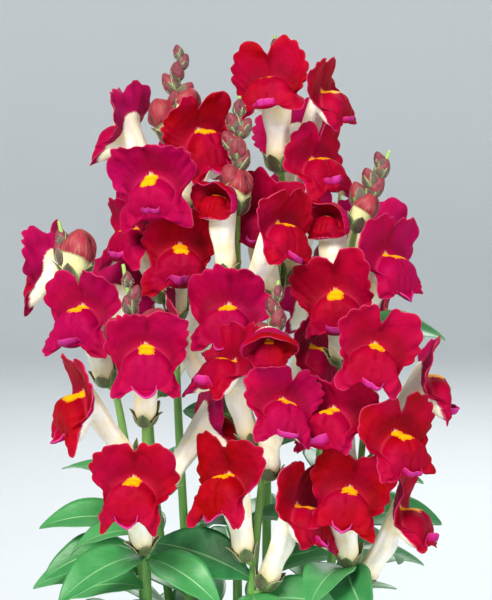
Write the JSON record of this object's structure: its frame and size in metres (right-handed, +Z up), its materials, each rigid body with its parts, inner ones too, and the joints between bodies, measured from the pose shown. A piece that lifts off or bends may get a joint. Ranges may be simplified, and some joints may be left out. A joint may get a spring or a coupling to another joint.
{
  "type": "snapdragon plant",
  "caption": "Potted snapdragon: leafy stems with spikes of two-lipped crimson flowers on white tubes, standing in the soil of a plain round clay pot.",
  "frame": {"origin": "middle of the pot's flat foot, on the surface that it stands on", "axes": "+Z up; the fullest side of the plant faces -Y; +X to the right of that side"},
  "size_m": [0.2008, 0.1854, 0.425],
  "materials": {
    "petals": "soft velvety petals, crimson lips with a yellow palate on cream white tubes",
    "greens": "matte green stems, leaves and sepals",
    "terracotta": "unglazed terracotta",
    "soil": "dark crumbly potting soil"
  },
  "bodies": {
    "root": {"bloom_back_left_1": "petals", "bloom_back_left_2": "petals", "bloom_back_left_3": "petals", "bloom_back_left_4": "petals", "bloom_back_left_5": "petals", "bloom_back_left_6": "petals", "bloom_back_left_7": "petals", "stem_back_left": "greens", "bloom_back_right_1": "petals", "bloom_back_right_2": "petals", "bloom_back_right_3": "petals", "bloom_back_right_4": "petals", "bloom_back_right_5": "petals", "bloom_back_right_6": "petals", "bloom_back_right_7": "petals", "stem_back_right": "greens", "bloom_middle_1": "petals", "bloom_middle_2": "petals", "bloom_middle_3": "petals", "bloom_middle_4": "petals", "stem_middle": "greens", "bloom_right_1": "petals", "bloom_right_2": "petals", "bloom_right_3": "petals", "bloom_right_4": "petals", "stem_right": "greens", "bloom_front_left_1": "petals", "bloom_front_left_2": "petals", "bloom_front_left_3": "petals", "bloom_front_left_4": "petals", "stem_front_left": "greens", "bloom_front_middle_1": "petals", "bloom_front_middle_2": "petals", "bloom_front_middle_3": "petals", "bloom_front_middle_4": "petals", "bloom_front_middle_5": "petals", "stem_front_middle": "greens", "bloom_left_1": "petals", "bloom_left_2": "petals", "bloom_left_3": "petals", "stem_left": "greens", "bloom_front_right_1": "petals", "bloom_front_right_2": "petals", "bloom_front_right_3": "petals", "bloom_front_right_4": "petals", "bloom_front_right_5": "petals", "bloom_front_right_6": "petals", "stem_front_right": "greens", "bloom_rear_left_1": "petals", "bloom_rear_left_2": "petals", "bloom_rear_left_3": "petals", "stem_rear_left": "greens", "bloom_rear_right_1": "petals", "bloom_rear_right_2": "petals", "bloom_rear_right_3": "petals", "stem_rear_right": "greens", "pot": "terracotta", "soil": "soil"}
  },
  "joints": []
}
